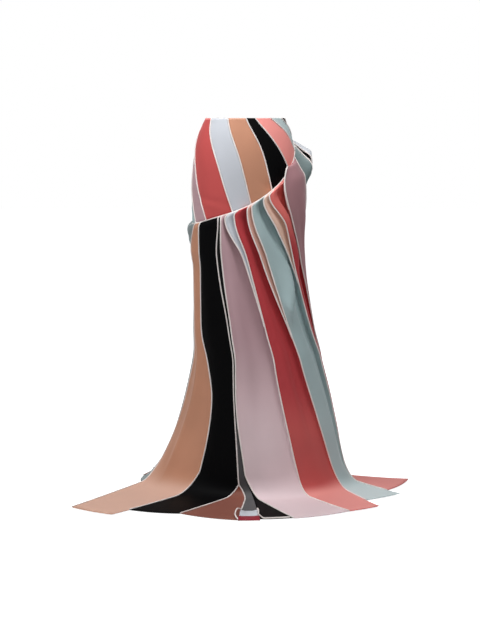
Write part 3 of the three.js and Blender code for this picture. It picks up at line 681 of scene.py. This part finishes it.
def insertCourse(f, after):  # an insert's fold closes on the next fold at its tip and follows it from there
    roll = after.get("roll", gore["roll"])
    own = courseOf({**after, **f, "settle": after["settle"], "roll": roll})
    course = courseOf(after)
    drops = fallDrops(goreTop(f["hip"]), roll, course["bend"])
    widths = [(drops[0], after["hip"] - f["hip"]),
              (drops[len(gore["shoulderRows"]) - 1], after["shoulder"] - f["shoulder"])]
    widths += [(stations[name], after[name] - f[name]) for name in ("upper", "thigh")
               if name in f and stations[name] < f["tip"]]
    widths += [(f["tip"], 0)]
    for row, drop in enumerate(drops):
        if drop > f["tip"] + 1:
            break
        closing = min((drop / f["tip"]) ** 2, 1)
        course["angles"][row] -= max(gore["tip"], smooth(widths, drop))
        course["stands"][row] = mix(own["stands"][row], course["stands"][row], closing)
    course["rise"] = f.get("rise", 0)
    return course


def openingCourse(f, neighbour):  # follows its neighbour, and leaves it near the floor
    side = 1 if f["follows"] == "before" else -1
    leader = courseOf(neighbour)
    drops = fallDrops(goreTop(neighbour["hip"]), leader["roll"], leader["bend"])
    angles = [angle + (side * gore["tip"] if drop >= f["opens"] else 0)
              for angle, drop in zip(leader["angles"], drops)]
    return {**leader, "angles": angles, "corner": f["corner"], "settle": f["settle"], "hem": f["hem"],
            "lift": hemLift.get(f["name"], 0)}


def makeCourses():
    made = []
    for i, f in enumerate(folds):
        before, after = folds[i - 1], folds[(i + 1) % len(folds)]
        if "tip" in f:
            made.append(insertCourse(f, after))
        elif "follows" in f:
            made.append(openingCourse(f, before if f["follows"] == "before" else after))
        else:
            made.append(courseOf(f))
    return made


courses = makeCourses()


def turned(course):  # once round, to close the skirt
    return {**course, "angles": [a + 360 for a in course["angles"]], "corner": course["corner"] + 360,
            "hem": course["hem"] + 360}


def courseAt(left, right, share):  # a course between two folds
    course = {key: mix(left[key], right[key], share) for key in left if key not in ("angles", "stands")}
    for key in ("angles", "stands"):
        course[key] = [mix(a, b, share) for a, b in zip(left[key], right[key])]
    return course


def floorCorner(course):  # where a fold would meet the floor if it fell straight on
    return onTube(course["corner"], cloth["waistHeight"] - cloth["solidWall"], course["settle"])


def fallPoints(course, longest, reach, swell, lateral):  # one column, from the hip seam to the cut edge
    drops = fallDrops(goreTop(course["angles"][0]), course["roll"], course["bend"])
    points = []
    for row, drop in enumerate(drops):
        out = course["stands"][row] + swell(drop, row)
        point = onTube(course["angles"][row] + lateral(drop, row), drop, out)
        rolled = clamp((drop - drops[0]) / course["roll"])  # some folds roll up over the hip seam first
        point.z += course["rise"] * math.sin(math.pi * rolled ** 0.5)
        points.append(point)
    corner, end = floorCorner(course), onFloor(course["hem"], longest)
    land = corner.lerp(end, course["landing"])
    cornerReach = math.hypot(corner.x, corner.y)
    hem = corner.lerp(end, (reach - cornerReach) / (longest - cornerReach))
    start = points[-1]
    for k in range(gore["bendSteps"]):
        t = (k + 1) / gore["bendSteps"]
        points.append(start * (1 - t) ** 2 + corner * (2 * t * (1 - t)) + land * t * t)
    for k in range(gore["floorSteps"]):
        t = (k + 1) / gore["floorSteps"]
        point = land.lerp(hem, t)
        far = clamp((point - land).length / max((end - land).length, 1))
        point.z += course["lift"] * far ** gore["liftCurve"]
        points.append(point)
    return points


def rightOf(i):  # the course at a piece's right, and the fold whose cut edge it meets there
    course = courses[i + 1] if i + 1 < len(folds) else turned(courses[0])
    after = folds[(i + 1) % len(folds)]
    return course, folds[(i + 2) % len(folds)] if "tip" in after else after


def longestAt(f):
    return max(f.get("before", 0), f.get("after", 0))


def sharesOf(f):  # where a piece's columns stand across it, closer at the folds of a wide piece
    columns = f.get("columns", gore["narrowColumns" if "tip" in f or "follows" in f else "columns"])
    crowd = gore["crowd"] if columns > gore["narrowColumns"] else 0
    return [c / columns - crowd * math.sin(4 * math.pi * (c / columns)) for c in range(columns + 1)]


def pieceRows(i):  # the piece's rows, the first and last of them that show, and its columns' shares across
    f, left = folds[i], courses[i]
    right, rightFold = rightOf(i)
    shares = sharesOf(f)
    swollenMost, swellTo = f.get("swell", gore["roundness"]), f.get("swellTo", gore["release"])
    swellDown = [(gore["swellHold"] * swellTo, 0), (swellTo, 1)]
    grid = []
    for share in shares:
        course = courseAt(left, right, share)
        seam = goreTop(course["angles"][0])

        def openAt(drop, row):  # 0 where the piece has closed to a point
            width = math.radians(right["angles"][row] - left["angles"][row]) * tubeWidth(drop)
            return smooth([(0, 0), (gore["dipWidth"], 1)], width)

        def dipAt(drop, row):
            belowRoll = smooth(dipBelowRoll, (drop - seam) / course["roll"])
            return f["dip"] * gore["deeper"] * smooth(dipDown, drop) * belowRoll * openAt(drop, row)

        def swell(drop, row):
            settled = clamp((drop - seam) / course["roll"])
            swollen = mix(swollenMost, gore["roundness"], smooth(swellDown, drop))
            arch = 4 * share * (1 - share)
            dip = dipAt(drop, row) * smooth(dipAcross, share)
            return openAt(drop, row) * arch * swollen * settled - dip

        def lateral(drop, row):  # the cloth tucks under the next fold
            tuck = smooth(tuckAcross, share) * gore["underlap"] * dipAt(drop, row)
            return math.degrees(tuck / tubeWidth(drop))

        reach = mix(f.get("after", 0), rightFold["before"], share)
        longest = mix(longestAt(f), longestAt(rightFold), share)
        grid.append(fallPoints(course, longest, reach, swell, lateral))
    rows = [list(row) for row in zip(*grid)]
    shown = [b - a > gore["apart"] for a, b in zip(left["angles"], right["angles"])]
    shown += ["tip" not in f] * (len(rows) - len(shown))
    return rows, shown.index(True), len(shown) - 1 - shown[::-1].index(True), shares


creaseShape = {
    "floorFrom": 1075,                           # below this drop a run goes along the cloth
    "fadeIn": 0.38, "fadeOut": 0.3, "edge": 0.16,
    "sharpAbove": 12,                            # taller creases break along a sharp edge
}


def creaseLift(crease, run, share, width):
    course, halfWidth, high, steep = crease
    start, end = course[0][0], course[-1][0]
    if not start < run < end:
        return 0.0
    away = (share - smooth(course, run)) * width / halfWidth
    away *= steep if away > 0 else 1
    sharp = away > 0 and high > creaseShape["sharpAbove"]
    along = (run - start) / (end - start)
    return (high * math.exp(-away if sharp else -away * away)
            * ease(along / creaseShape["fadeIn"]) * ease((1 - along) / creaseShape["fadeOut"]))


def creased(name, rows, shares):  # lifts the cloth off itself along its creases
    if name not in creases:
        return rows
    middle = len(shares) // 2
    edge = creaseShape["edge"]
    run = -rows[0][middle].z
    made = []
    for r, row in enumerate(rows):
        above, below = rows[max(r - 1, 0)], rows[min(r + 1, len(rows) - 1)]
        if r:
            here, last = row[middle], above[middle]
            run += (here - last).length if -here.z > creaseShape["floorFrom"] else last.z - here.z
        width = sum((b - a).length for a, b in zip(row, row[1:]))
        line = []
        for c, point in enumerate(row):
            share = shares[c]
            lift = sum(creaseLift(crease, run, share, width) for crease in creases[name])
            lift *= ease(share / edge) * ease((1 - share) / edge)
            across = row[min(c + 1, len(row) - 1)] - row[max(c - 1, 0)]
            moved = point + (below[c] - above[c]).cross(across).normalized() * lift
            moved.z = max(moved.z, cloth["wall"] + cloth["floorClear"] - cloth["waistHeight"])
            line.append(moved)
        made.append(line)
    return made


def seamLine(rows):  # the left edge of a piece, a little proud of the cloth
    line = []
    for r, row in enumerate(rows):
        below, above = rows[min(r + 1, len(rows) - 1)][0], rows[max(r - 1, 0)][0]
        level = Vector((row[0].x, row[0].y, 0)).normalized()
        along = (below - above).normalized()
        falls = abs(along.z) > piping["fallsFrom"]
        out = (level - along * level.dot(along)).normalized() if falls else Vector((0, 0, 1))
        line.append(row[0] + out * piping["proud"])
    return line


def buildSkirt():
    seams = []
    for i, f in enumerate(folds):
        rows, first, last, shares = pieceRows(i)
        rows = creased(f["name"], rows, shares)[first:last + 1]
        makeCloth(f["name"], f["colour"], rows)
        if f["name"] != "pleat_black":  # the turned hem's own piping runs along it
            seams.append(seamLine(rows))
    makePiping("skirt_seam_piping", seams, piping["radius"])
    print("gores and inserts:", len(folds))


hemTurns = {
    "pieces": [("ice", 330, 388, 9), ("coral", 388.4, 434, 6)],  # colour, start and end on the floor, crown
    "columns": 16, "rows": 10, "inset": 0.01, "wave": (0.55, 0.45, 2.2),
    "curl": 13, "curlCurve": 0.7, "rise": 5, "edgeRise": 2.5,
}


def hemTurnRows(sides, start, stop, crown):
    columns = hemTurns["columns"]
    flat, deep, turns = hemTurns["wave"]
    rows = []
    for r in range(hemTurns["rows"] + 1):
        t = r / hemTurns["rows"]
        reach = mix(start, stop, t)
        left, right = [corner.lerp(end, (reach - near) / (far - near)) for corner, end, near, far in sides]
        row = []
        for c in range(columns + 1):
            side = c / columns
            point = left.lerp(right, mix(hemTurns["inset"], 1 - hemTurns["inset"], side))
            point.z += crown * math.sin(math.pi * t) * (flat + deep * math.cos(turns * math.pi * side))
            row.append(point)
        rows.append(row)
    return rows


def buildHemTurns():  # between pleat_slate and pleat_black, with the piping that curls over them
    i = next(k for k, f in enumerate(folds) if f["name"] == "pleat_slate")
    sides = []
    for k in (i, i + 1):
        corner, end = floorCorner(courses[k]), onFloor(courses[k]["hem"], longestAt(folds[k]))
        sides.append((corner, end, math.hypot(corner.x, corner.y), math.hypot(end.x, end.y)))
    made = []
    for colour, start, stop, crown in hemTurns["pieces"]:
        made.append(hemTurnRows(sides, start, stop, crown))
        makeCloth("hem_turn_" + colour, colour, made[-1])
    up = Vector((0, 0, hemTurns["rise"]))
    left = [row[0] for rows in made for row in rows]
    curl = []
    for k, point in enumerate(left):
        bow = math.sin(math.pi * k / (len(left) - 1)) ** hemTurns["curlCurve"]
        curl.append(point + up + Vector((-hemTurns["curl"] * bow, 0, 0)))
    right = [row[-1] + up for row in made[0]]
    rows, first, last, shares = pieceRows(i + 1)
    edge = [point + Vector((0, 0, hemTurns["edgeRise"])) for point in rows[last][1:-1]]
    makePiping("hem_turn_piping", [curl, right + edge], piping["radius"])
    print("turned hems:", len(made))


studio = {
    "floor": 0.80, "floorGlow": 0.92, "floorSize": 14, "background": 1.0, "ambient": 0.17,
    "camera": (-0.015, -4.5, 0.0), "tilt": 8.0766, "lens": 80.07,
}
lamps = [  # name, place, aimed at, size, power
    ("overhead softbox", (-0.6, -0.9, 1.7), (0, 0, -0.6), 1.5, 34),
    ("left softbox", (-1.8, -1.0, 1.5), (0, 0, -0.5), 1.3, 18),
    ("right softbox", (0.9, -1.2, 2.4), (0, 0, -0.4), 1.2, 40),
    ("back softbox", (0.0, 2.2, 1.6), (0, 0, -0.7), 1.6, 13),
]


def buildFloor():
    mesh = bpy.data.meshes.new("studio floor")
    size, z = studio["floorSize"], -cloth["waistHeight"] * mm
    corners = [(-size, -size, z), (size, -size, z), (size, size, z), (-size, size, z)]
    mesh.from_pydata(corners, [], [(0, 1, 2, 3)])
    floor = link(bpy.data.objects.new("studio_floor", mesh))
    f = Finish(bpy.data.materials.new("pale floor"))  # it reads pale without lighting the cloth from below
    seen = f.add("ShaderNodeLightPath", output="Is Camera Ray")
    f.set(Base_Color=(studio["floor"],) * 3, Roughness=0.9, Specular_IOR_Level=0.1,
          Emission_Color=f.mixColour(seen, (0, 0, 0), (studio["floorGlow"],) * 3), Emission_Strength=1)
    mesh.materials.append(f.owner)


def buildLight():
    world = bpy.data.worlds.new("studio")
    bpy.context.scene.world = world
    sky = Finish(world, "Background")
    seen = sky.add("ShaderNodeLightPath", output="Is Camera Ray")
    sky.set(Color=(1, 1, 1),
            Strength=sky.add("ShaderNodeMix", {}, {0: seen, 2: studio["ambient"], 3: studio["background"]}))
    for name, place, aim, width, power in lamps:
        light = bpy.data.lights.new(name, "AREA")
        light.shape, light.size, light.energy = "DISK", width, power
        lamp = link(bpy.data.objects.new(name, light))
        lamp.location = place
        lamp.rotation_euler = (Vector(aim) - Vector(place)).to_track_quat("-Z", "Y").to_euler()


def placeCamera():
    lens = bpy.data.cameras.new("camera")
    lens.lens = studio["lens"]
    camera = link(bpy.data.objects.new("camera", lens))
    camera.location = studio["camera"]
    camera.rotation_euler = (math.radians(90 - studio["tilt"]), 0, 0)
    bpy.context.scene.camera = camera
    bpy.context.scene.view_settings.view_transform = "Standard"


buildFloor()
buildLight()
placeCamera()
print("studio ready")
buildYoke()
buildHipPiping()
buildSkirt()
buildHemTurns()
for node, width, length, area in wholeCut:
    print("cut", node, width, "x", length, "m,", area, "m2")
print("whole cut", round(sum(row[3] for row in wholeCut), 3), "m2")
